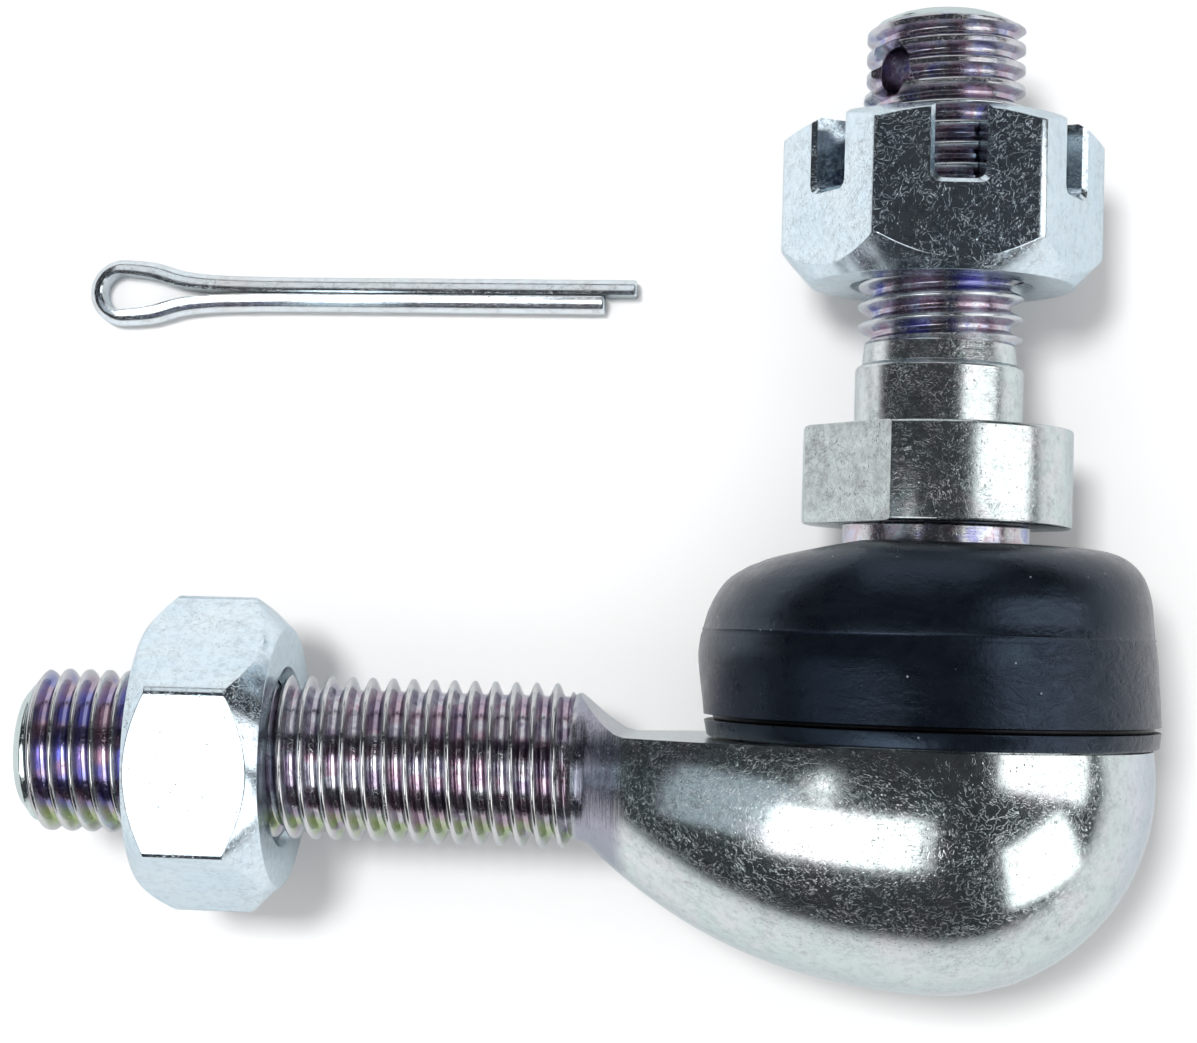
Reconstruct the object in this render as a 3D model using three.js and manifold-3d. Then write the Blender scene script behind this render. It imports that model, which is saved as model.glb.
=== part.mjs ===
// Rod end bearing with a ball stud: a zinc-plated housing with a male M10 x 1.25 shank, a spring-loaded
// ball in two races, a rubber dust boot, a ball stud with a collar and a drilled M10 x 1.25 thread, a slotted
// nut, a jam nut and a loose split pin.
//
// Millimetres. The origin is the centre of the ball. The stud points along +Y, the shank along -X, and the
// part lies on its side with +Z up. The split pin lies beside it on the same surface.
import * as THREE from 'three';
import { mergeVertices } from 'three/addons/utils/BufferGeometryUtils.js';
import Module from 'manifold-3d';

const wasm = await Module();
wasm.setup();

// ---- driving dimensions -------------------------------------------------------------------------------

const ROUND = 32; // facets round a turned piece
const HIDDEN_ROUND = 24; // facets round a piece inside the housing or the boot
const PITCH = 1.25; // both threads are M10 x 1.25, right-hand
const THREAD = { crest: 4.9, root: 4.15, crestFlat: 0.2, rootFlat: 0.35, facets: 12 };
const THREAD_PLAY = 0.14; // radial play between a nut's thread and its screw

const HOUSING = {
  radius: 12.75, centre: 0.35, flatTop: 2.0, shankEnd: -54.7, shankRadius: 4.9, taperEnd: -20.3,
};
const BOSS = { radius: 11.6, top: 7.4, lipRadius: 9.3, grooveRadius: 11.0 };
const CAVITY = { radius: 10.3, floor: -9.9, lipUnder: 6.45 };

const BALL = { radius: 8.75, flat: -7.6, seatRadius: 8.85 };
const NECK = { waist: 4.8, radius: 5.55 };
const COLLAR = { radius: 8.0, low: 14.9, high: 20.7, acrossFlats: 14.0 };
const SHOULDER = { radius: 5.0, top: 24.4 };
const RELIEF = { radius: 4.1, top: 25.7 };
const STUD_END = 45.5;
const CROSS_HOLE = { radius: 1.4, y: 41.8 };
const KEY_ANGLE = THREE.MathUtils.degToRad(51); // flats and cross hole, from +Z towards -X

const NUT = { acrossFlats: 16.8, cornerCut: 0.1 };
const JAM_NUT = { low: 38.85, high: 46.85, turn: THREE.MathUtils.degToRad(-5.5) };
const CASTLE_NUT = {
  low: 29.25, high: 38.8, slotWidth: 3.0, slotDepth: 4.4, turn: THREE.MathUtils.degToRad(3.8),
};

const BOOT = { radius: 13.55, neckRadius: 5.85, baseRadius: 11.85 };
const PIN = { wire: 1.1, gap: 0.04, length: 36.5, shortBy: 2.1, eyeRadius: 1.15, turn: 0.5 };
const PIN_AT = new THREE.Vector3(-55.6, 29.7, -BOOT.radius + PIN.wire);

// ---- solids -------------------------------------------------------------------------------------------

function solid(geometry) {
  geometry.deleteAttribute('normal');
  geometry.deleteAttribute('uv');
  const merged = mergeVertices(geometry, 1e-5);
  return new wasm.Manifold(new wasm.Mesh({
    numProp: 3,
    vertProperties: new Float32Array(merged.attributes.position.array),
    triVerts: new Uint32Array(merged.index.array),
  }));
}

function geometryOf(manifold) {
  const { vertProperties, triVerts } = manifold.getMesh();
  const geometry = new THREE.BufferGeometry();
  geometry.setAttribute('position', new THREE.BufferAttribute(new Float32Array(vertProperties), 3));
  geometry.setIndex(new THREE.BufferAttribute(new Uint32Array(triVerts), 1));
  geometry.computeVertexNormals();
  return geometry;
}

// A solid turned about the Y axis from [radius, y] points that start and end on the axis, going up.
function turned(points, facets = ROUND) {
  return solid(new THREE.LatheGeometry(points.map(([r, y]) => new THREE.Vector2(r, y)), facets));
}

// A ring turned about the Y axis from the corners of its section, going round it anticlockwise.
function ring(points, facets = ROUND) {
  return turned([...points, points[0]], facets);
}

function prism(shape, depth, matrix) {
  const geometry = new THREE.ExtrudeGeometry(shape, { depth, bevelEnabled: false, curveSegments: 12 });
  return solid(geometry.applyMatrix4(matrix));
}

function arc(centre, radius, from, to, count) {
  return Array.from({ length: count + 1 }, (_, i) => {
    const a = THREE.MathUtils.degToRad(from + ((to - from) * i) / count);
    return [centre[0] + radius * Math.cos(a), centre[1] + radius * Math.sin(a)];
  });
}

// An overlong screw about the Y axis: a spiral strip of root, flank, crest and flank, closed at its ends.
// Its phase depends on y alone, so that any two made by this function are in mesh.
function screw(from, to, play = 0) {
  const { crest, root, crestFlat, rootFlat, facets } = THREAD;
  const flank = (PITCH - crestFlat - rootFlat) / 2;
  const section = [
    [root + play, 0],
    [root + play, rootFlat],
    [crest + play, rootFlat + flank],
    [crest + play, rootFlat + flank + crestFlat],
  ];
  const first = Math.floor(from / PITCH) - 1;
  const turns = Math.ceil(to / PITCH) + 1 - first;
  const steps = turns * facets;
  const positions = [];
  for (let s = 0; s <= steps; s++) {
    const angle = (2 * Math.PI * s) / facets;
    for (const [r, y] of section) {
      positions.push(r * Math.sin(angle), (first + s / facets) * PITCH + y, r * Math.cos(angle));
    }
  }
  const bottom = positions.push(0, first * PITCH, 0) / 3 - 1;
  const top = positions.push(0, (first + turns) * PITCH, 0) / 3 - 1;
  const index = [];
  const quad = (a, b, c, d) => index.push(a, b, c, a, c, d);
  for (let s = 0; s < steps; s++) {
    const here = 4 * s;
    for (let m = 0; m < 3; m++) quad(here + m, here + m + 4, here + m + 5, here + m + 1);
    if (s + facets < steps) quad(here + 3, here + 7, here + 4 * (facets + 1), here + 4 * facets);
  }
  const last = 4 * (steps - facets);
  for (let s = 0; s < facets; s++) {
    index.push(bottom, 4 * s + 4, 4 * s);
    index.push(top, last + 4 * s + 3, last + 4 * s + 7);
  }
  for (let m = 0; m < 3; m++) index.push(bottom, m, m + 1);
  index.push(bottom, 3, 4 * facets);
  for (let m = 0; m < 3; m++) index.push(top, 4 * steps + m + 1, 4 * steps + m);
  index.push(top, 4 * steps, last + 3);
  const geometry = new THREE.BufferGeometry();
  geometry.setAttribute('position', new THREE.Float32BufferAttribute(positions, 3));
  geometry.setIndex(index);
  return solid(geometry);
}

// Turns a solid made about +Y to lie about -X.
const alongShank = (manifold) => manifold.rotate([0, 0, 90]);
const aboutY = (manifold, radians) => manifold.rotate([0, THREE.MathUtils.radToDeg(radians), 0]);

// ---- housing ------------------------------------------------------------------------------------------

function housing() {
  const { radius, centre, flatTop, shankEnd, shankRadius, taperEnd } = HOUSING;
  const taper = new THREE.SplineCurve([
    new THREE.Vector2(shankRadius - 0.35, -taperEnd),
    new THREE.Vector2(6.45, 18.1),
    new THREE.Vector2(9.3, 13.5),
    new THREE.Vector2(11.43, 8.0),
    new THREE.Vector2(12.43, 4.0),
    new THREE.Vector2(radius, -centre),
  ]).getPoints(8).map((p) => [p.x, p.y]);
  const body = alongShank(turned([
    ...arc([0, -centre], radius, -90, 0, 8).map(([r, y], i) => [i ? r : 0, y]).slice(0, -1),
    ...taper.reverse(),
    [shankRadius - 0.2, -taperEnd + 0.9],
    [0, -taperEnd + 0.9],
  ]));

  // the flat top is milled, with a concave run-out up to the shank
  const mill = new THREE.Shape();
  mill.moveTo(20, flatTop);
  mill.lineTo(-17.4, flatTop);
  mill.quadraticCurveTo(-18.6, 2.3, -21.6, 5.4);
  mill.lineTo(-21.6, 20);
  mill.lineTo(20, 20);
  const milling = prism(mill, 40, new THREE.Matrix4().makeTranslation(0, 0, -20));

  const shankLength = -shankEnd;
  const shank = turned([
    [0, -taperEnd - 1.5],
    [shankRadius + 0.2, -taperEnd - 1.5],
    [shankRadius + 0.2, shankLength - 1.3],
    [3.4, shankLength],
    [0, shankLength],
  ], THREAD.facets * 2);
  const plain = turned([[0, -taperEnd - 1.5], [4.6, -taperEnd - 1.5], [4.6, 20.9], [4, 21.5], [0, 21.5]], 24);
  const threaded = shank.intersect(screw(20, shankLength + 1).add(plain));

  const boss = turned([
    [0, flatTop - 1],
    [BOSS.radius, flatTop - 1],
    [BOSS.radius, 2.6],
    [BOSS.grooveRadius, 2.7],
    [BOSS.grooveRadius, 3.9],
    [BOSS.radius, 4.1],
    [BOSS.radius, BOSS.top - 0.6],
    [BOSS.radius - 0.6, BOSS.top],
    [0, BOSS.top],
  ]);
  const cavity = turned([
    [0, CAVITY.floor],
    [6.4, CAVITY.floor],
    [6.9, CAVITY.floor + 2.25],
    ...arc([0, 0], CAVITY.radius, -48, 0, 6),
    [CAVITY.radius, CAVITY.lipUnder],
    [BOSS.lipRadius, CAVITY.lipUnder],
    [BOSS.lipRadius, BOSS.top + 1],
    [0, BOSS.top + 1],
  ]);
  return body.add(alongShank(threaded)).subtract(milling).add(boss).subtract(cavity);
}

// ---- inside the housing -------------------------------------------------------------------------------

function seatArc(from, to, count) {
  return arc([0, 0], BALL.seatRadius, from, to, count);
}

function lowerRace() {
  const outside = arc([0, 0], CAVITY.radius - 0.1, -55.5, -1.3, 6);
  return ring([...seatArc(-71.5, -1.5, 8).reverse(), ...outside], HIDDEN_ROUND);
}

function upperRace() {
  return ring([
    [CAVITY.radius - 0.1, 0.2],
    [CAVITY.radius - 0.1, 5.0],
    ...seatArc(1.3, 34.4, 5).reverse(),
  ], HIDDEN_ROUND);
}

function closingRing() {
  const outer = CAVITY.radius - 0.1;
  return ring([[8.4, 5.1], [outer, 5.1], [outer, 6.35], [8.4, 6.35]], HIDDEN_ROUND);
}

function preloadSpring() {
  return ring([[2.9, -9.8], [5.6, -9.15], [5.6, -8.65], [2.9, -9.3]], HIDDEN_ROUND);
}

// ---- dust boot and its rings --------------------------------------------------------------------------

function dustBoot() {
  const outside = new THREE.SplineCurve([
    new THREE.Vector2(13.05, 3.75),
    new THREE.Vector2(13.4, 4.8),
    new THREE.Vector2(BOOT.radius, 6.6),
    new THREE.Vector2(13.25, 9.0),
    new THREE.Vector2(12.5, 11.5),
    new THREE.Vector2(11.2, 13.0),
    new THREE.Vector2(9.6, 13.65),
  ]).getPoints(9).map((p) => [p.x, p.y]);
  return ring([
    [BOOT.baseRadius, 2.1],
    [13.45, 2.1],
    [13.5, 2.75],
    [12.55, 2.8],
    [12.3, 3.25],
    [12.55, 3.7],
    ...outside,
    [BOOT.neckRadius, 13.85],
    [BOOT.neckRadius, 11.3],
    [6.55, 11.2],
    [6.55, 12.7],
    [7.45, 12.7],
    [7.45, 11.3],
    [9.6, 11.4],
    [11.1, 10.3],
    [BOOT.baseRadius, 8.0],
    [BOOT.baseRadius, 4.0],
    [11.25, 3.8],
    [11.25, 2.95],
    [BOOT.baseRadius, 2.8],
  ]);
}

function bootBaseClip() {
  return ring(arc([12.95, 3.25], 0.42, 0, 360, 6).slice(0, -1));
}

function bootNeckRing() {
  return ring([[6.7, 11.5], [7.3, 11.5], [7.3, 12.5], [6.7, 12.5]], HIDDEN_ROUND);
}

// ---- ball stud ----------------------------------------------------------------------------------------

function ballStud() {
  const { radius, flat } = BALL;
  const top = THREE.MathUtils.radToDeg(Math.acos(NECK.waist / radius));
  const bottom = -THREE.MathUtils.radToDeg(Math.asin(-flat / radius));
  const lower = turned([
    [0, flat],
    ...arc([0, 0], radius, bottom, top, 11),
    [NECK.waist, 9.2],
    [5.1, 10.7],
    [NECK.radius, 11.6],
    [NECK.radius, COLLAR.low],
    [COLLAR.radius - 0.25, COLLAR.low],
    [COLLAR.radius, COLLAR.low + 0.25],
    [COLLAR.radius, COLLAR.high - 0.25],
    [COLLAR.radius - 0.25, COLLAR.high],
    [SHOULDER.radius, COLLAR.high],
    [SHOULDER.radius, SHOULDER.top - 0.3],
    [SHOULDER.radius - 0.3, SHOULDER.top],
    [4.55, SHOULDER.top + 0.15],
    [4.55, RELIEF.top],
    [RELIEF.radius, RELIEF.top + 0.45],
    [0, RELIEF.top + 0.45],
  ]);
  const blank = turned([
    [0, RELIEF.top - 0.2],
    [4.5, RELIEF.top - 0.2],
    [THREAD.crest + 0.2, RELIEF.top + 0.5],
    [THREAD.crest + 0.2, 38.2],
    [4.68, 41.3],
    [4.68, STUD_END - 0.8],
    [3.3, STUD_END],
    [0, STUD_END],
  ], THREAD.facets * 2);
  const threaded = blank.intersect(screw(RELIEF.top, STUD_END + 1));

  const half = COLLAR.acrossFlats / 2;
  const side = new THREE.BoxGeometry(30, 20, 10);
  const flats = [-1, 1].map((s) => solid(side.clone().translate(0, COLLAR.low - 4 + 10, s * (half + 5))));
  const neckGuard = turned([[0, 0], [NECK.radius, 0], [NECK.radius, 60], [0, 60]]);
  const flatCuts = wasm.Manifold.union(flats).subtract(neckGuard);
  const hole = solid(new THREE.CylinderGeometry(CROSS_HOLE.radius, CROSS_HOLE.radius, 12, 24)
    .rotateX(Math.PI / 2).translate(0, CROSS_HOLE.y, 0));
  return lower.add(threaded).subtract(aboutY(flatCuts.add(hole), -KEY_ANGLE));
}

// ---- nuts ---------------------------------------------------------------------------------------------

// A hexagon with a flat facing +Z before it is extruded along +Y, its corners just broken.
function hexPrism(low, high) {
  const corner = NUT.acrossFlats / Math.sqrt(3);
  const apothem = NUT.acrossFlats / 2;
  const half = Math.acos(apothem / (corner - NUT.cornerCut));
  const shape = new THREE.Shape();
  for (let side = 0; side < 6; side++) {
    for (const sign of [-1, 1]) {
      const angle = (side * Math.PI) / 3 + Math.PI / 2 + sign * half;
      const x = (apothem / Math.cos(half)) * Math.cos(angle);
      const y = (apothem / Math.cos(half)) * Math.sin(angle);
      if (side === 0 && sign < 0) shape.moveTo(x, y);
      else shape.lineTo(x, y);
    }
  }
  const matrix = new THREE.Matrix4().makeRotationX(Math.PI / 2);
  return prism(shape, high - low, matrix.setPosition(0, high, 0));
}

function nut({ low, high }, topDrop, topRadius) {
  const corner = 9.7;
  const envelope = turned([
    [0, low],
    [7.85, low],
    [corner, low + 2.0],
    [corner, high - topDrop],
    [topRadius, high],
    [0, high],
  ]);
  const mouth = 5.45;
  const countersinks = turned([[0, low - 1], [mouth + 1, low - 1], [4.2, low + 1.25], [0, low + 1.25]], 32)
    .add(turned([[0, high - 1.25], [4.2, high - 1.25], [mouth + 1, high + 1], [0, high + 1]], 32));
  return hexPrism(low, high).intersect(envelope)
    .subtract(screw(low - 2, high + 2, THREAD_PLAY)).subtract(countersinks);
}

function castleNut() {
  const { high, slotWidth, slotDepth, turn } = CASTLE_NUT;
  const half = slotWidth / 2;
  const shape = new THREE.Shape();
  shape.moveTo(-half, high + 1);
  shape.lineTo(-half, high - slotDepth + 0.5);
  shape.lineTo(-half + 0.5, high - slotDepth);
  shape.lineTo(half - 0.5, high - slotDepth);
  shape.lineTo(half, high - slotDepth + 0.5);
  shape.lineTo(half, high + 1);
  const slot = prism(shape, 24, new THREE.Matrix4().makeTranslation(0, 0, -12));
  const slots = wasm.Manifold.union([0, 1, 2].map((i) => aboutY(slot, (i * Math.PI) / 3)));
  return aboutY(nut(CASTLE_NUT, 0.98, 8.0).subtract(slots), turn);
}

// ---- split pin ----------------------------------------------------------------------------------------

// Half-round wire, its flat side on the path: out along one leg, round the eye and back along the other.
function splitPin() {
  const { wire, gap, length, shortBy, eyeRadius, turn } = PIN;
  const eyeX = eyeRadius + wire;
  const leg = [[11, gap], [8, gap + 0.12], [6, 0.38], [4.2, 0.92]];
  const eye = arc([eyeX, 0], eyeRadius, 80, 280, 6);
  const path = [[length, gap], [24, gap], [15, gap], ...leg, ...eye,
    ...leg.map(([x, y]) => [x, -y]).reverse(), [15, -gap], [24, -gap],
    [length - shortBy, -gap]];
  const points = path.map(([x, y]) => new THREE.Vector3(x, y, 0));
  const curve = new THREE.CatmullRomCurve3(points, false, 'centripetal');
  const section = new THREE.Shape();
  section.moveTo(wire, 0);
  section.absarc(0, 0, wire, 0, -Math.PI, true);
  return solid(new THREE.ExtrudeGeometry(section, { steps: 56, curveSegments: 6, extrudePath: curve }))
    .rotate([0, 0, turn]);
}

// ---- the part -----------------------------------------------------------------------------------------

const ZINC = { color: 0xb9bec6, roughness: 0.28, metalness: 1.0 };
const PALE_ZINC = { color: 0xcfd8de, roughness: 0.42, metalness: 0.9 };
const BARE_STEEL = { color: 0x8d8f92, roughness: 0.35, metalness: 1.0 };
const RUBBER = { color: 0x16181b, roughness: 0.55, metalness: 0.0 };
const BLACK_WIRE = { color: 0x1d1e20, roughness: 0.4, metalness: 0.6 };
const PIN_STEEL = { color: 0xc3c9c9, roughness: 0.3, metalness: 1.0 };

const part = new THREE.Group();

function place(name, manifold, look, position = new THREE.Vector3()) {
  const mesh = new THREE.Mesh(geometryOf(manifold), new THREE.MeshStandardMaterial(look));
  mesh.name = name;
  mesh.position.copy(position);
  part.add(mesh);
}

place('housing', housing(), ZINC);
place('lower_race', lowerRace(), BARE_STEEL);
place('upper_race', upperRace(), BARE_STEEL);
place('preload_spring', preloadSpring(), BARE_STEEL);
place('closing_ring', closingRing(), BARE_STEEL);
place('dust_boot', dustBoot(), RUBBER);
place('boot_base_clip', bootBaseClip(), BLACK_WIRE);
place('boot_neck_ring', bootNeckRing(), BLACK_WIRE);
place('ball_stud', ballStud(), ZINC);
place('castle_nut', castleNut(), PALE_ZINC);
place('jam_nut', alongShank(aboutY(nut(JAM_NUT, 1.5, 8.2), JAM_NUT.turn)), PALE_ZINC);
place('split_pin', splitPin(), PIN_STEEL, PIN_AT);

export default part;
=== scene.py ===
"""Looks for the rod end bearing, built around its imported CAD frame.

Lengths are in millimetres in the geometry and in metres in the materials, whose object coordinates are metres.
The origin is the ball's centre, with +Y along the stud, -X along the shank and +Z up."""

import math

import bmesh
import bpy
from mathutils import Matrix, Vector


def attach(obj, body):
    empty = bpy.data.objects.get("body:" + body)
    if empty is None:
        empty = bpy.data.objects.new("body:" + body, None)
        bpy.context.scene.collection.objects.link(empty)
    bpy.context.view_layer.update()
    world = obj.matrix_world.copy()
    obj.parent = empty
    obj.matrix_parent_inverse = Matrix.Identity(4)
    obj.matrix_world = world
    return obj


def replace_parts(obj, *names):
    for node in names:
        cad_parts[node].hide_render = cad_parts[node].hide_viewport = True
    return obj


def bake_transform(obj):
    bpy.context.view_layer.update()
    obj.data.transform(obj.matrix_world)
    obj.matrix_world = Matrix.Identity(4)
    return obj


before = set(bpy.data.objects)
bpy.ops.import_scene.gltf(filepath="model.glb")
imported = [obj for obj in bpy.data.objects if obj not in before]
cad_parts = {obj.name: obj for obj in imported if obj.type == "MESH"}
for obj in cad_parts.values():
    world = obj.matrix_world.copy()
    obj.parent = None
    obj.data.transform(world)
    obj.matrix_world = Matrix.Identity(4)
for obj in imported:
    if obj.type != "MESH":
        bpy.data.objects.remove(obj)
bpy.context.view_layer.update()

MM = 0.001
PITCH = 1.25
CREST, ROOT = 4.93, 4.15  # thread radii
KEY = math.radians(51)  # wrench flats and cross hole, from +Z towards -X
FLOOR = -13.56  # just under the boot
THREAD_SIDES = 112
NUT_SIDES = 288


# ---- camera -----------------------------------------------------------------------------------------------


def make_camera():
    """The photograph's view: from above, leaning a little towards the shank's side of the ball."""
    roll, yaw, pitch = -0.0247, -0.0824, -0.045
    turn = Matrix.Rotation(roll, 3, "Z") @ Matrix.Rotation(yaw, 3, "Y") @ Matrix.Rotation(pitch, 3, "X")
    shift, distance = Vector((19.70, -15.21, 0)), 150.03
    data = bpy.data.cameras.new("camera")
    data.sensor_width = 36
    data.lens = 75.96
    data.clip_start, data.clip_end = 0.01, 20
    camera = bpy.data.objects.new("camera", data)
    bpy.context.collection.objects.link(camera)
    place = turn.transposed() @ (Vector((0, 0, distance)) - shift)
    camera.matrix_world = Matrix.Translation(place * MM) @ turn.transposed().to_4x4()
    bpy.context.scene.camera = camera


# ---- mesh helpers -----------------------------------------------------------------------------------------


def on_axis(r, angle, y):
    """A point about the Y axis, its angle from +Z towards +X."""
    return Vector((r * math.sin(angle), y, r * math.cos(angle)))


def unit(value):
    """The value held between 0 and 1."""
    return min(max(value, 0), 1)


def angles(n):
    return [2 * math.pi * i / n for i in range(n)]


def filleted(corners, steps=4):
    """A polyline through (r, y, fillet) corners, each rounded to its fillet."""
    out = []
    for i, (r, y, fillet) in enumerate(corners):
        p = Vector((r, y))
        if not fillet or i in (0, len(corners) - 1):
            out.append(p)
            continue
        a = Vector(corners[i - 1][:2]) - p
        b = Vector(corners[i + 1][:2]) - p
        reach = fillet / math.tan(max(a.angle(b), 0.05) / 2)
        reach = min(reach, 0.45 * a.length, 0.45 * b.length)
        start, end = p + a.normalized() * reach, p + b.normalized() * reach
        for k in range(steps + 1):
            u = k / steps
            out.append(start * (1 - u) ** 2 + p * (2 * u * (1 - u)) + end * u * u)
    return out


def arc(radius, low, high, count, centre=(0, 0)):
    """Points on an arc, its ends in degrees from the radial direction."""
    out = []
    for i in range(count + 1):
        a = math.radians(low + (high - low) * i / count)
        out.append(Vector((centre[0] + radius * math.cos(a), centre[1] + radius * math.sin(a))))
    return out


def smooth_line(points, count):
    """A Catmull-Rom line through the points, with count steps in each stretch."""
    p = [Vector(q) for q in points]
    p = [2 * p[0] - p[1]] + p + [2 * p[-1] - p[-2]]
    out = []
    for i in range(1, len(p) - 2):
        a, b, c, d = p[i - 1 : i + 3]
        for k in range(count):
            t = k / count
            square, cube = 2 * a - 5 * b + 4 * c - d, 3 * b - a - 3 * c + d
            out.append(0.5 * (2 * b + (c - a) * t + square * t**2 + cube * t**3))
    return out + [p[-2]]


def grid(rows, closed=False):
    """Vertices and faces of rows of points, each row a loop."""
    n = len(rows[0])
    verts = [v for row in rows for v in row]
    faces = []
    for k in range(len(rows) if closed else len(rows) - 1):
        nxt = (k + 1) % len(rows)
        for i in range(n):
            j = (i + 1) % n
            faces.append((k * n + i, k * n + j, nxt * n + j, nxt * n + i))
    return verts, faces


def turned(profile, n, closed=False):
    """A surface turned about the Y axis from (r, y) points."""
    return grid([[on_axis(r, a, y) for a in angles(n)] for r, y in profile], closed)


def capped(rows):
    """A solid between its first and last row, both flat."""
    verts, faces = grid(rows)
    n, total = len(rows[0]), len(verts)
    return verts, faces + [tuple(range(n)), tuple(range(total - 1, total - 1 - n, -1))]


def joined(*parts):
    verts, faces = [], []
    for v, f in parts:
        base = len(verts)
        verts += v
        faces += [tuple(base + i for i in face) for face in f]
    return verts, faces


def moved(part, matrix):
    return [matrix @ v for v in part[0]], part[1]


def along_shank(part):
    """Turns what was made about +Y to lie about -X."""
    return [Vector((-v.y, v.x, v.z)) for v in part[0]], part[1]


def mesh_of(name, part, sharp=35):
    mesh = bpy.data.meshes.new(name)
    mesh.from_pydata([v * MM for v in part[0]], [], part[1])
    bm = bmesh.new()
    bm.from_mesh(mesh)
    bmesh.ops.remove_doubles(bm, verts=bm.verts, dist=2e-7)
    bmesh.ops.dissolve_degenerate(bm, edges=bm.edges, dist=1e-8)
    bmesh.ops.recalc_face_normals(bm, faces=bm.faces)
    bm.to_mesh(mesh)
    bm.free()
    finish_mesh(mesh, sharp)
    return mesh


def finish_mesh(mesh, sharp):
    for polygon in mesh.polygons:
        polygon.use_smooth = True
    mesh.set_sharp_from_angle(angle=math.radians(sharp))


def add(name, part, material, sharp=35):
    piece = bpy.data.objects.new(name, mesh_of(name, part, sharp))
    piece.data.materials.append(material)
    bpy.context.collection.objects.link(piece)
    return piece


def carve(piece, cuts, sharp):
    """Applies boolean cuts, given as (operation, part) pairs, to a piece's mesh."""
    tools = []
    for operation, part in cuts:
        tool = bpy.data.objects.new("tool", mesh_of("tool", part))
        bpy.context.collection.objects.link(tool)
        modifier = piece.modifiers.new("cut", "BOOLEAN")
        modifier.operation, modifier.solver, modifier.object = operation, "EXACT", tool
        tools.append(tool)
    bpy.context.view_layer.update()
    evaluated = piece.evaluated_get(bpy.context.evaluated_depsgraph_get())
    mesh = bpy.data.meshes.new_from_object(evaluated)
    piece.modifiers.clear()
    material = piece.data.materials[0]
    old, piece.data = piece.data, mesh
    piece.data.materials.clear()
    piece.data.materials.append(material)
    mesh.name = piece.name
    bpy.data.meshes.remove(old)
    for tool in tools:
        data = tool.data
        bpy.data.objects.remove(tool)
        bpy.data.meshes.remove(data)
    finish_mesh(mesh, sharp)


def merged(pieces, name):
    """Joins separate closed pieces of one material into the first."""
    bm = bmesh.new()
    for piece in pieces:
        bm.from_mesh(piece.data)
    bm.to_mesh(pieces[0].data)
    bm.free()
    for piece in pieces[1:]:
        data = piece.data
        bpy.data.objects.remove(piece)
        bpy.data.meshes.remove(data)
    pieces[0].name = pieces[0].data.name = name
    return pieces[0]


# ---- threads ----------------------------------------------------------------------------------------------


def thread_section(count):
    """Radii over one pitch of a rolled thread: a rounded root, a flank, a narrow crest and a flank."""
    rise, fall, flank = 0.28, 0.72, 0.28  # starts and length of the flanks, in pitches
    fine = 240
    shape = [unit((i / fine - rise) / flank) - unit((i / fine - fall) / flank) for i in range(fine)]
    near = range(-12, 13)
    soft = [sum(shape[(i + k) % fine] for k in near) / len(near) for i in range(fine)]
    return [ROOT + (CREST - ROOT) * soft[i * fine // count] for i in range(count)]


def screw(low, high, limit, n=THREAD_SIDES, count=20, play=0.0, inside=False):
    """A right-hand thread about the Y axis from low to high, with count steps to a pitch and play added to its
    radius. limit(y) caps the radius from outside, or from inside for a nut. Both ends close to a circle."""
    section = thread_section(count)
    first = (math.floor(low / PITCH) - 2) * count
    last = (math.ceil(high / PITCH) + 2) * count
    verts = []
    for k in range(first, last + 1):
        for i in range(n):
            y = min(max((k / count + i / n) * PITCH, low), high)
            r = section[k % count] + play
            r = max(r, limit(y)) if inside else min(r, limit(y))
            if not low < y < high:
                r = limit(y)
            verts.append(on_axis(r, 2 * math.pi * i / n, y))
    faces = []
    for k in range(last - first):
        for i in range(n):
            if i < n - 1:
                a, b = k * n + i, k * n + i + 1
                faces.append((a, b, b + n, a + n))
            elif k + count < last - first:
                a, b = k * n + i, (k + count) * n
                faces.append((a, b, b + n, a + n))
    return verts, faces


def disc(radius, y):
    """The flat end of a screw."""
    n = THREAD_SIDES
    ring = [on_axis(radius, a, y) for a in angles(n)]
    return ring + [Vector((0, y, 0))], [(i, (i + 1) % n, n) for i in range(n)]


def ramp(*stops):
    """A piecewise linear function through (x, value) stops."""

    def value(x):
        for (a, va), (b, vb) in zip(stops, stops[1:]):
            if x <= b:
                return va + (vb - va) * unit((x - a) / (b - a))
        return stops[-1][1]

    return value


# ---- node helpers -----------------------------------------------------------------------------------------


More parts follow.
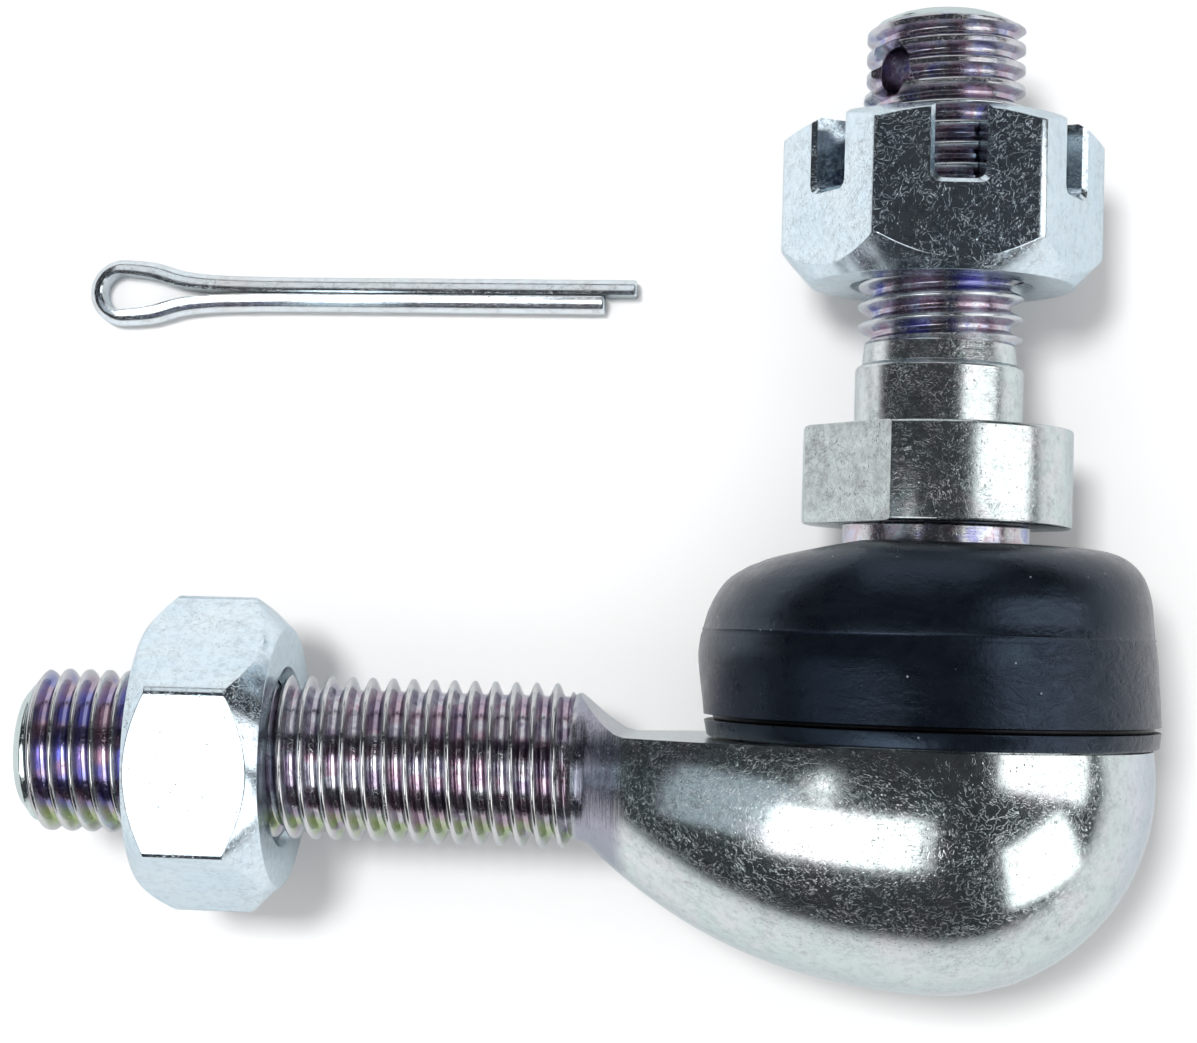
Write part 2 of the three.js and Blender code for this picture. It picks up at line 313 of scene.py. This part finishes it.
class Nodes:
    """Builds a material's node tree in short calls. Scales of textures are per metre."""

    def __init__(self, name):
        self.material = bpy.data.materials.new(name)
        self.material.use_nodes = True
        self.tree = self.material.node_tree
        self.shader = self.tree.nodes["Principled BSDF"]
        self.coords = self.tree.nodes.new("ShaderNodeTexCoord").outputs["Object"]

    def set(self, **values):
        for key, value in values.items():
            self.shader.inputs[key.replace("_", " ")].default_value = value

    def link(self, a, b):
        self.tree.links.new(a, b)

    def mapping(self, scale):
        node = self.tree.nodes.new("ShaderNodeMapping")
        node.inputs["Scale"].default_value = scale
        self.link(self.coords, node.inputs["Vector"])
        return node.outputs["Vector"]

    def noise(self, scale, detail=3.0, rough=0.5, stretch=(1, 1, 1), distortion=0.0):
        node = self.tree.nodes.new("ShaderNodeTexNoise")
        node.inputs["Scale"].default_value = scale
        node.inputs["Detail"].default_value = detail
        node.inputs["Roughness"].default_value = rough
        node.inputs["Distortion"].default_value = distortion
        self.link(self.mapping(stretch), node.inputs["Vector"])
        return node.outputs["Fac"]

    def voronoi(self, scale):
        node = self.tree.nodes.new("ShaderNodeTexVoronoi")
        node.inputs["Scale"].default_value = scale
        self.link(self.coords, node.inputs["Vector"])
        return node.outputs["Distance"]

    def vein(self, scale, detail, distortion):
        """How far a noise is from its middle: close to 0 along thin wandering lines."""
        noise = self.noise(scale, detail, 0.6, distortion=distortion)
        return self.math("ABSOLUTE", self.math("SUBTRACT", noise, 0.5))

    def stops(self, value, *points):
        """A colour ramp: points are (position, grey) or (position, (r, g, b))."""
        node = self.tree.nodes.new("ShaderNodeValToRGB")
        self.link(value, node.inputs["Fac"])
        elements = node.color_ramp.elements
        while len(elements) < len(points):
            elements.new(0.5)
        for element, (position, colour) in zip(elements, points):
            element.position = position
            rgb = colour if isinstance(colour, tuple) else (colour,) * 3
            element.color = (*rgb, 1)
        return node.outputs["Color"]

    def math(self, operation, a, b=0.0, c=0.0):
        node = self.tree.nodes.new("ShaderNodeMath")
        node.operation = operation
        for socket, value in zip(node.inputs, (a, b, c)):
            if isinstance(value, bpy.types.NodeSocket):
                self.link(value, socket)
            else:
                socket.default_value = value
        return node.outputs[0]

    def product(self, a, b):
        return self.math("MULTIPLY", a, b)

    def mix(self, factor, a, b, blend="MIX"):
        node = self.tree.nodes.new("ShaderNodeMix")
        node.data_type, node.blend_type = "RGBA", blend
        for socket, value in ((node.inputs[0], factor), (node.inputs[6], a), (node.inputs[7], b)):
            if isinstance(value, bpy.types.NodeSocket):
                self.link(value, socket)
            else:
                socket.default_value = (*value, 1) if isinstance(value, tuple) else value
        return node.outputs[2]

    def span(self, value, low, high):
        """0 below low to 1 above high, or the other way round where low is above high."""
        node = self.tree.nodes.new("ShaderNodeMapRange")
        self.link(value, node.inputs["Value"])
        ends = (low, high, 0.0, 1.0) if low < high else (high, low, 1.0, 0.0)
        for key, end in zip(("From Min", "From Max", "To Min", "To Max"), ends):
            node.inputs[key].default_value = end
        return node.outputs["Result"]

    def radius(self, a, b):
        """Distance from the object's axis that is at right angles to the axes numbered a and b."""
        square = [self.math("POWER", self.axis(i), 2.0) for i in (a, b)]
        return self.math("SQRT", self.math("ADD", *square))

    def axis(self, index):
        node = self.tree.nodes.new("ShaderNodeSeparateXYZ")
        self.link(self.coords, node.inputs[0])
        return node.outputs[index]

    def bump(self, height, strength, distance):
        """Adds one more layer of bump over those there are."""
        node = self.tree.nodes.new("ShaderNodeBump")
        node.inputs["Strength"].default_value = strength
        node.inputs["Distance"].default_value = distance
        self.link(height, node.inputs["Height"])
        if self.shader.inputs["Normal"].is_linked:
            self.link(self.shader.inputs["Normal"].links[0].from_socket, node.inputs["Normal"])
        self.link(node.outputs["Normal"], self.shader.inputs["Normal"])


# ---- materials --------------------------------------------------------------------------------------------


SILVER = (0.69, 0.705, 0.72)
PLUM = (0.43, 0.37, 0.46)
ROSE = (0.58, 0.44, 0.50)
INDIGO = (0.32, 0.32, 0.62)
LAVENDER = (0.58, 0.58, 0.72)
# a dim lavender used as painted shade in the hollow neck of the housing
SHADED_NECK_LAVENDER = (0.30, 0.295, 0.37)
MOSS = (0.48, 0.58, 0.26)
DULL = (0.34, 0.36, 0.36)
SOOT = (0.20, 0.20, 0.21)
ASH = (0.61, 0.69, 0.68)
ICE = (0.66, 0.78, 0.86)
PALE = (0.72, 0.81, 0.86)
WHITE = (1.0, 1.0, 1.0)
LEVEL = (0.5, 0.5, 0.5)  # where a bump is masked out
ROOT_SHADE_CREST_HIGHLIGHT_RADII = (0.00435, 0.0049)  # painted shade in a thread's roots gives way to a painted highlight on its crests between these


def zinc(name, tints, rough, wear, paint=None, drift=230, stained=0.6):
    """Bright zinc plate. tints are the passivation colours that it drifts between and drift how finely, wear is
    how marked it is and stained how strong its stains are. paint adds what only this piece has, given the nodes
    and the colour so far."""
    m = Nodes(name)
    m.set(Metallic=1.0, Specular_Tint=(0.66, 0.70, 0.72, 1.0))
    cloud = m.noise(drift, 4, 0.6, distortion=0.6)
    lowest, width = 0.32, 0.36  # the part of the noise's range that the tints share
    colour = m.stops(cloud, *[(lowest + width * i / (len(tints) - 1), c) for i, c in enumerate(tints)])
    stain = m.stops(m.noise(1700, 6, 0.78), (0.34, 0.6), (0.52, 1.0))
    colour = m.mix(stained, colour, stain, "MULTIPLY")

    scratch = m.stops(m.vein(700, 3, 2.0), (0.0, 1.0), (0.02, 0.0))
    rare = m.stops(m.noise(240, 3, 0.6), (0.5, 0.0), (0.62, 0.45))
    colour = m.mix(m.mix(1.0, rare, scratch, "MULTIPLY"), colour, SOOT)

    speck = m.noise(2600, 5, 0.75)
    m.link(m.stops(speck, (0.3, rough * 0.7), (0.7, rough * 1.4)), m.shader.inputs["Roughness"])
    m.bump(speck, 0.3 * wear, 0.00002)
    hair = m.stops(m.vein(1900, 2, 1.2), (0.0, 0.0), (0.016, 1.0))
    patch = m.stops(m.noise(500, 3, 0.6), (0.38, 0.8), (0.62, 0.0))
    m.bump(m.mix(patch, hair, WHITE), 0.6 * wear, 0.00002)
    dent = m.stops(m.voronoi(2300), (0.0, 0.0), (0.16, 1.0))
    m.bump(dent, 0.9 * wear, 0.00003)
    m.link(paint(m, colour) if paint else colour, m.shader.inputs["Base Color"])
    return m.material


def housing_paint(m, colour):
    """A neck with lathe marks and painted shade, a violet hint at the round end, and rainbow passivation on the
    thread, with painted shade in its roots and a painted highlight on its crests.
    """
    x, y = m.axis(0), m.axis(1)
    neck = m.product(m.span(x, -0.0212, -0.0208), m.span(x, -0.0176, -0.0186))
    marks = m.noise(1, 4, 0.75, (5200, 50, 50))
    m.bump(m.mix(neck, LEVEL, marks), 0.8, 0.00004)
    # Painted shade: the neck between shank and housing is darkened towards a dim lavender.
    colour = m.mix(m.product(neck, 0.85), colour, SHADED_NECK_LAVENDER)
    round_end = m.span(x, 0.0095, 0.0125)
    colour = m.mix(m.product(round_end, 0.4), colour, LAVENDER)

    film = m.stops(m.noise(420, 3, 0.6), (0.36, PLUM), (0.45, ROSE), (0.54, SILVER), (0.62, PLUM))
    blue = m.stops(m.noise(500, 3), (0.4, INDIGO), (0.6, ROSE))
    film = m.mix(m.span(x, -0.040, -0.046), film, blue)
    green = m.product(m.span(y, -0.0030, -0.0040), m.span(m.noise(600, 2), 0.40, 0.5))
    # Painted shade: the passivation film is darkened for the thread's roots.
    film = m.mix(1.0, m.mix(green, film, MOSS), (0.8, 0.8, 0.84), "MULTIPLY")
    # Painted highlight: the thread's crests are a light grey, set by radius.
    thread = m.mix(m.span(m.radius(1, 2), *ROOT_SHADE_CREST_HIGHLIGHT_RADII), film, (0.6, 0.6, 0.61))
    end_face = m.span(x, -0.0536, -0.0538)
    thread = m.mix(end_face, thread, ASH)
    return m.mix(m.span(x, -0.0209, -0.0213), colour, thread)


def stud_paint(m, colour):
    """Lathe marks, dull wrench flats, and violet and rose passivation on the thread and on the waist between
    ball and collar. The thread has painted shade in its roots and a painted highlight on its crests."""
    y = m.axis(1)
    marks = m.stops(m.noise(1, 4, 0.75, (60, 4600, 60)), (0.35, 0.0), (0.65, 1.0))
    m.bump(m.mix(m.span(m.radius(0, 2), 0.0052, 0.006), marks, LEVEL), 0.2, 0.00001)
    m.bump(marks, 0.12, 0.00001)
    across = m.math("MULTIPLY_ADD", m.axis(0), -math.sin(KEY), m.product(m.axis(2), math.cos(KEY)))
    outer = m.span(m.math("ABSOLUTE", across), 0.0069, 0.00699)
    milled = m.product(outer, m.span(y, 0.0208, 0.0206))
    dull = m.stops(m.noise(900, 5, 0.7), (0.35, DULL), (0.65, ASH))
    colour = m.mix(m.product(milled, 0.85), colour, dull)

    film = m.stops(m.noise(430, 3, 0.6), (0.36, LAVENDER), (0.46, ROSE), (0.54, SILVER), (0.64, INDIGO))
    # Painted shade: the film is darkened for the thread's roots, and the next line gives the crests a painted
    # highlight.
    shaded_film = m.mix(1.0, film, (0.85, 0.85, 0.9), "MULTIPLY")
    thread = m.mix(m.span(m.radius(0, 2), *ROOT_SHADE_CREST_HIGHLIGHT_RADII), shaded_film, (0.62, 0.64, 0.66))
    end_face = m.span(y, 0.0447, 0.0449)
    thread = m.mix(end_face, thread, ASH)
    waist = m.product(m.span(y, 0.0149, 0.0147), 0.8)
    return m.mix(m.span(y, 0.0256, 0.0259), m.mix(waist, colour, film), thread)


def plain_steel(name, colour, rough):
    m = Nodes(name)
    m.set(Metallic=1.0)
    grain = m.noise(1800, 5, 0.7)
    shade = m.stops(grain, (0.3, 0.6), (0.7, 1.0))
    m.link(m.mix(0.35, colour, shade, "MULTIPLY"), m.shader.inputs["Base Color"])
    m.link(m.stops(grain, (0.3, rough * 0.8), (0.7, rough * 1.3)), m.shader.inputs["Roughness"])
    m.bump(grain, 0.3, 0.00002)
    return m.material


def rubber():
    """Black satin rubber with dust, faint smears, moulding marks and a scuffed patch on the far side from the
    shank."""
    m = Nodes("boot_rubber")
    m.set(Specular_IOR_Level=0.6, Specular_Tint=(0.5, 0.7, 1.0, 1.0))
    smear = m.stops(m.noise(260, 5, 0.65, (1, 2.2, 1), 1.0), (0.42, 0.0), (0.75, 1.0))
    base = m.mix(smear, (0.0016, 0.0022, 0.0038), (0.0045, 0.0058, 0.0085))
    dust = m.stops(m.voronoi(900), (0.04, 1.0), (0.07, 0.0))
    where = m.stops(m.noise(420, 3, 0.6), (0.46, 0.0), (0.56, 1.0))
    dust = m.mix(1.0, dust, where, "MULTIPLY")
    m.link(m.mix(dust, base, (0.2, 0.22, 0.25)), m.shader.inputs["Base Color"])
    m.link(m.stops(m.noise(900, 5, 0.7), (0.3, 0.24), (0.7, 0.36)), m.shader.inputs["Roughness"])
    m.bump(m.noise(2300, 4, 0.7), 0.5, 0.00004)
    m.bump(m.noise(330, 4, 0.6, (1, 2.5, 1), 0.8), 0.3, 0.00012)
    scuffed = m.product(m.span(m.axis(1), 0.0095, 0.008), m.span(m.axis(0), 0.003, 0.006))
    scuff = m.noise(800, 4, 0.75, (1, 1.6, 1), 1.5)
    m.bump(m.mix(scuffed, LEVEL, scuff), 0.7, 0.00015)
    return m.material


def floor_pale():
    m = Nodes("floor_pale")
    m.set(Base_Color=(0.85, 0.85, 0.85, 1), Roughness=0.9, Specular_IOR_Level=0.1)
    return m.material


# ---- pieces -----------------------------------------------------------------------------------------------


# Radius of the cone and fillet between shank and housing, by x.
NECK = ramp((-21.6, 4.1), (-21.45, 4.12), (-20.95, 4.42), (-20.3, 4.61))
# Y of the flat milled across the housing, by x: level at the boot, then curving up to the neck.
MILLED = ramp(
    (-21.3, 4.75), (-20.6, 4.05), (-19.8, 3.2), (-19.1, 2.6), (-18.5, 2.18), (-17.9, 2.02), (-17.2, 2.0),
    (20, 2.0),
)


def housing_radius(x):
    """Radius of the housing about the shank's axis, from the shank's shoulder to the round end."""
    centre, tangent, round_radius = 0.35, -0.35, 12.75
    if x >= tangent:
        return math.sqrt(max(round_radius**2 - (x - centre) ** 2, 0))
    if x <= -20.3:
        return NECK(x)
    t = tangent - x
    return 12.73 - 0.055 * t - 0.01 * t**2 - 0.000383 * t**3


def housing():
    """A teardrop cut flat under the boot, with a boss for the boot, a cavity for the ball, and the shank."""
    start, sides = -21.6, 240
    stations = [start - start * i / 108 for i in range(108)]
    stations += [13.1 * math.sin(math.pi / 2 * i / 48) for i in range(49)]
    rows = [[Vector((start, 0, 0))] * sides]
    for x in stations:
        r = housing_radius(x)
        rows.append([Vector((x, r * math.cos(a), r * math.sin(a))) for a in angles(sides)])
    body = add("housing_skin", grid(rows), HOUSING_ZINC, 50)

    clear = 16  # outside the body on every side
    steps = [start + 0.1 * i for i in range(40)] + [clear]
    line = [(x, MILLED(x)) for x in steps] + [(clear, clear), (start, clear)]
    above = capped([[Vector((x, y, z)) for x, y in line] for z in (clear, -clear)])
    boss = filleted([
        (0, 0.5, 0), (11.6, 0.5, 0), (11.6, 2.6, 0), (11, 2.7, 0),
        (11, 3.9, 0), (11.6, 4.1, 0), (11.6, 7.4, 1.1), (0, 7.4, 0),
    ])
    closed_end = [Vector((0, -9.9)), Vector((6.4, -9.9)), Vector((6.9, -7.65))]
    mouth = [Vector((10.3, 6.45)), Vector((9.3, 6.45)), Vector((9.3, 9)), Vector((0, 9))]
    cavity = closed_end + arc(10.3, -48, 0, 10) + mouth
    carve(body, [("DIFFERENCE", above), ("UNION", turned(boss, 128)), ("DIFFERENCE", turned(cavity, 128))], 50)

    inner, outer = 20.9, 54.7
    limit = ramp((inner, 3.9), (21.3, 4.3), (21.9, 5.2), (53.2, 5.2), (53.5, 4.85), (54.62, 3.5), (outer, 3.3))
    rod = joined(screw(inner, outer, limit), disc(3.3, outer), disc(3.9, inner))
    shank = add("shank", along_shank(rod), HOUSING_ZINC, 60)
    piece = merged([body, shank], "housing_skin")
    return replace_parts(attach(piece, "housing"), "housing")


def ball_stud():
    """Ball, waist, collar with two wrench flats, shoulder, relief and a drilled thread."""
    radius, ball_end, neck_radius = 8.75, -7.6, 4.8
    low, high = math.asin(ball_end / radius), math.acos(neck_radius / radius)
    ball = arc(radius, math.degrees(low), math.degrees(high), 60)
    corners = [
        (4.8, 7.32, 0), (4.8, 9.2, 0.8), (5.1, 10.7, 0.8), (5.55, 11.6, 0.6), (5.55, 14.9, 0.15),
        (8.0, 14.9, 0.22), (8.0, 20.7, 0.22), (5.0, 20.7, 0.15), (5.0, 24.25, 0.25), (4.62, 24.5, 0.1),
        (4.5, 25.65, 0.05), (4.0, 26.1, 0), (0, 26.1, 0),
    ]
    body = add("stud_body", turned([(0, ball_end), *ball, *filleted(corners)[1:]], 224), STUD_ZINC)
    to_key = Matrix.Rotation(-KEY, 4, "Y")
    block_faces = [(0, 1, 3, 2), (4, 6, 7, 5), (0, 4, 5, 1), (2, 3, 7, 6), (0, 2, 6, 4), (1, 5, 7, 3)]
    flats = []
    for side in (-1, 1):
        block = [Vector((x, y, z)) for x in (-12, 12) for y in (14.0, 21.9) for z in (side * 7.0, side * 12)]
        flats.append(("DIFFERENCE", moved((block, block_faces), to_key)))
    carve(body, flats, 25)

    inner, outer = 25.5, 45.5
    limit = ramp(
        (inner, 3.9), (25.7, 4.4), (26.4, 5.2), (38.4, 5.2), (41.2, 4.74), (44.7, 4.74), (45.35, 3.5),
        (outer, 3.1),
    )
    thread = joined(screw(inner, outer, limit), disc(3.1, outer), disc(3.9, inner))
    rod = add("stud_rod", thread, STUD_ZINC, 60)
    countersunk = [(0, -8, 0), (4.0, -8, 0), (1.35, -3.9, 0.25), (1.35, 3.9, 0.25), (4.0, 8, 0), (0, 8, 0)]
    drill = to_key @ Matrix.Translation((0, 41.8, 0)) @ Matrix.Rotation(math.pi / 2, 4, "X")
    carve(rod, [("DIFFERENCE", moved(turned(filleted(countersunk, 5), 64), drill))], 45)
    piece = merged([body, rod], "stud_skin")
    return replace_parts(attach(piece, "stud"), "ball_stud")


def hex_radius(angle):
    """Distance to a hexagon's side with its corners rounded, a flat facing angle 0."""
    apothem, round_off = 8.4, 0.55
    half = math.pi / 6
    off = abs((angle + half) % (2 * half) - half)
    if math.tan(off) * apothem <= (apothem - round_off) * math.tan(half):
        return apothem / math.cos(off)
    centre = (apothem - round_off) / math.cos(half)
    lean = half - off
    return centre * math.cos(lean) + math.sqrt(max(round_off**2 - (centre * math.sin(lean)) ** 2, 0))


def nut(low, high, top_slope, top_radius):
    """A hexagon nut about the Y axis: chamfered faces, countersunk mouths and a thread."""
    mouth_radius, thread_radius, seat_radius, seat_slope = 5.45, 4.25, 7.85, 1.08
    rows = []
    for a in angles(NUT_SIDES):
        r = hex_radius(a)
        corners = [
            (mouth_radius, low, 0), (seat_radius, low, 0.12), (r, low + seat_slope * (r - seat_radius), 0.14),
            (r, high - (r - top_radius) * top_slope, 0.12), (top_radius, high, 0.12), (mouth_radius, high, 0),
        ]
        rows.append([on_axis(p.x, a, p.y) for p in filleted(corners)])
    outside = grid([list(row) for row in zip(*rows)])
    sink = 1.2
    mouth = ramp(
        (low, mouth_radius), (low + sink, thread_radius), (high - sink, thread_radius), (high, mouth_radius)
    )
    return joined(outside, screw(low, high, mouth, NUT_SIDES, count=16, play=0.14, inside=True))


def castle_nut():
    """The nut on the stud, with three slots right across it that flare at both mouths."""
    turn = Matrix.Rotation(math.radians(3.8), 4, "Y")
    piece = add("castle_nut_skin", moved(nut(29.25, 38.8, 0.577, 8.0), turn), NUT_ZINC, 28)
    slots = []
    for i in range(3):
        rows = []
        for z, flare in ((-12, 0.28), (-8.42, 0.28), (-8.14, 0), (8.14, 0), (8.42, 0.28), (12, 0.28)):
            w, floor = 1.5 + flare, 34.4 - flare
            outline = filleted([(-w, 40, 0), (-w, floor, 0.7), (w, floor, 0.7), (w, 40, 0)], 5)
            rows.append([Vector((p.x, p.y, z)) for p in outline])
        slots.append(("DIFFERENCE", moved(capped(rows), turn @ Matrix.Rotation(i * math.pi / 3, 4, "Y"))))
    carve(piece, slots, 28)
    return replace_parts(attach(piece, "castle_nut"), "castle_nut")


def jam_nut():
    turn = Matrix.Rotation(math.radians(-5.5), 4, "Y")
    part = along_shank(moved(nut(38.85, 46.85, 1.0, 8.2), turn))
    piece = add("jam_nut_skin", part, NUT_ZINC, 28)
    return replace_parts(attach(piece, "jam_nut"), "jam_nut")


def boot():
    """A turned wall with a mould line, leaning a little towards the shank and lower there at its top."""
    side = smooth_line([(13.46, 3.43), (13.48, 4.2), (13.52, 5.4), (13.55, 6.9), (13.42, 8.1)], 8)
    mould_line = [Vector((13.34, 8.35)), Vector((13.38, 8.45)), Vector((13.3, 8.6))]
    shoulder = smooth_line(
        [(13.18, 9.3), (12.85, 10.8), (12.3, 12.1), (11.4, 13.05), (10.2, 13.55), (8.6, 13.72), (6.6, 13.78)], 8
    )
    inside = filleted([
        (5.85, 13.6, 0.2), (5.85, 11.7, 0.1), (6.55, 11.6, 0), (6.55, 12.7, 0), (7.45, 12.7, 0),
        (7.45, 12.0, 0.1), (9.6, 12.3, 0.6), (11.6, 10.9, 0.8), (12.5, 8.6, 0.8), (12.5, 4.3, 0),
        (11.25, 3.8, 0), (11.25, 2.95, 0), (11.85, 2.8, 0), (11.85, 2.12, 0.1), (13.3, 2.12, 0.2),
        (13.46, 3.13, 0.08), (13.0, 3.0, 0.05), (12.45, 2.85, 0.1), (12.2, 3.28, 0.1), (12.45, 3.7, 0.1),
        (13.0, 3.56, 0.05),
    ], 3)
    rows = []
    for p in side + mould_line + shoulder + inside:
        lean = math.exp(-(((p.y - 7.6) / 3.4) ** 2)) * 0.42
        near_top = unit((p.y - 9.5) / 3.5)
        row = []
        for a in angles(288):
            v = on_axis(p.x, a, p.y)
            v.x -= lean * unit((p.x - 9) / 3)
            v.y -= near_top * unit((-v.x - 4.5) / 6)
            row.append(v)
        rows.append(row)
    piece = add("boot_skin", grid(rows, True), RUBBER, 40)
    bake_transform(piece)
    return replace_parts(piece, "dust_boot")


def base_clip():
    section = arc(0.37, 0, 360, 16, (12.63, 3.28))[:-1]
    piece = add("base_clip_skin", turned(section, 256, True), BLACK_WIRE, 60)
    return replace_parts(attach(piece, "housing"), "boot_base_clip")


def split_pin():
    """Half-round wire, bent round into an eye and two legs that lie together, one of them cut shorter."""
    leg = [(36.5, 0.04), (30, 0.04), (24, 0.04), (18, 0.04), (13, 0.05)]
    leg += [(10, 0.1), (7.8, 0.2), (6.1, 0.42), (4.3, 0.93)]
    eye = [(p.x, p.y) for p in arc(1.2, 80, 280, 8, (2.25, 0))]
    short_by = 2.1
    back = [(x if x < 30 else x - short_by, -y) for x, y in reversed(leg)]
    path = smooth_line(leg + eye + back, 8)
    round_side = [math.radians(d) for d in range(6, 175, 8)]
    section = [(1.02, 0.0), *[(1.1 * math.cos(a), -1.1 * math.sin(a)) for a in round_side], (-1.02, 0.0)]
    rows = []
    for i, p in enumerate(path):
        ahead = path[min(i + 1, len(path) - 1)] - path[max(i - 1, 0)]
        inward = Vector((-ahead.y, ahead.x)).normalized()
        thin = 1 - 0.12 * math.exp(-(((p.x - 1.4) / 1.6) ** 2))  # the wire is thinner round the eye
        rows.append([Vector((p.x + inward.x * v * thin, p.y + inward.y * v * thin, u)) for u, v in section])
    place = Matrix.Translation((-55.6, 29.7, -12.45)) @ Matrix.Rotation(math.radians(0.5), 4, "Z")
    piece = add("split_pin_skin", moved(capped(rows), place), PIN_STEEL, 40)
    bevel = piece.modifiers.new("worn_ends", "BEVEL")
    bevel.width, bevel.segments = 0.18 * MM, 3
    bevel.limit_method, bevel.angle_limit = "ANGLE", math.radians(60)
    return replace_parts(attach(piece, "split_pin"), "split_pin")


# ---- studio -----------------------------------------------------------------------------------------------


def area_light(name, place, target, size, power, glossy=True, colour=(1, 1, 1), spread=180):
    """A rectangle that faces its target, its first side as near to the X direction as that allows. A glossy one
    is seen only in reflections and the others only light what is matt. The camera sees none of them."""
    data = bpy.data.lights.new(name, "AREA")
    data.shape, data.size, data.size_y = "RECTANGLE", size[0] * MM, size[1] * MM
    data.energy, data.color, data.spread = power, colour, math.radians(spread)
    light = bpy.data.objects.new(name, data)
    bpy.context.collection.objects.link(light)
    back = (Vector(place) - Vector(target)).normalized()
    across = (Vector((1, 0, 0)) - back * back.x).normalized()
    light.location = Vector(place) * MM
    light.rotation_euler = Matrix((across, back.cross(across), back)).transposed().to_euler()
    light.visible_glossy, light.visible_diffuse, light.visible_camera = glossy, not glossy, False


def studio():
    """A pale floor, lights, and a world that is dim to the part and pale to the camera."""
    mesh = bpy.data.meshes.new("floor")
    half = 1500 * MM
    corners = [(-half, -half), (half, -half), (half, half), (-half, half)]
    mesh.from_pydata([(x, y, FLOOR * MM) for x, y in corners], [], [(0, 1, 2, 3)])
    floor = bpy.data.objects.new("floor", mesh)
    floor.data.materials.append(floor_pale())
    bpy.context.collection.objects.link(floor)
    area_light("overhead", (-40, 30, 640), (-20, 15, 0), (1400, 1400), 7.1, glossy=False)
    area_light("key", (-72, 70, 420), (-20, 15, 0), (60, 60), 1.2, glossy=False)
    area_light("box_front_left", (-105, -152, 240), (-20, 0, 0), (165, 145), 0.22)
    area_light("box_far_left", (-225, -80, 190), (-20, 0, 0), (190, 170), 0.055, colour=(0.8, 0.9, 1.0))
    area_light("box_shank", (-59, -10, 84), (-44, -2.5, 9), (44, 46), 0.0019, spread=34)
    area_light("box_right", (215, 40, 150), (0, 15, 0), (250, 130), 0.21)
    area_light("box_right_low", (180, -135, 90), (0, 0, 0), (150, 150), 0.16)
    area_light("box_back", (-40, 262, 128), (-30, 10, 0), (300, 215), 0.18)
    world = bpy.data.worlds.new("studio_world")
    world.use_nodes = True
    nodes, links = world.node_tree.nodes, world.node_tree.links
    dim = nodes["Background"]
    dim.inputs["Color"].default_value = (0.042, 0.044, 0.05, 1)
    backdrop = nodes.new("ShaderNodeBackground")
    backdrop.inputs["Color"].default_value = (0.9, 0.9, 0.9, 1)
    seen, mix = nodes.new("ShaderNodeLightPath"), nodes.new("ShaderNodeMixShader")
    links.new(seen.outputs["Is Camera Ray"], mix.inputs[0])
    links.new(dim.outputs[0], mix.inputs[1])
    links.new(backdrop.outputs[0], mix.inputs[2])
    links.new(mix.outputs[0], nodes["World Output"].inputs["Surface"])
    bpy.context.scene.world = world
    bpy.context.scene.view_settings.view_transform = "Standard"


make_camera()
studio()

HOUSING_ZINC = zinc("housing_zinc", (SILVER, ASH, SILVER), 0.15, 0.5, housing_paint)
STUD_ZINC = zinc("stud_zinc", (ASH, SILVER, ASH, SILVER), 0.21, 0.6, stud_paint)
NUT_ZINC = zinc("nut_zinc", (ICE, PALE), 0.15, 0.65, drift=300, stained=0.5)
PIN_STEEL = zinc("pin_steel", (SILVER, PALE), 0.16, 0.4)
RUBBER = rubber()
BLACK_WIRE = plain_steel("black_wire", (0.03, 0.03, 0.034), 0.4)
RACE_STEEL = plain_steel("race_steel", (0.5, 0.51, 0.52), 0.25)

housing()
ball_stud()
castle_nut()
jam_nut()
boot()
base_clip()
split_pin()

# The hidden pieces keep their CAD shape and get a material.
for name, material in (
    ("upper_race", RACE_STEEL), ("lower_race", RACE_STEEL), ("closing_ring", RACE_STEEL),
    ("preload_spring", RACE_STEEL), ("boot_neck_ring", BLACK_WIRE),
):
    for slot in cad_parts[name].material_slots:
        slot.material = material
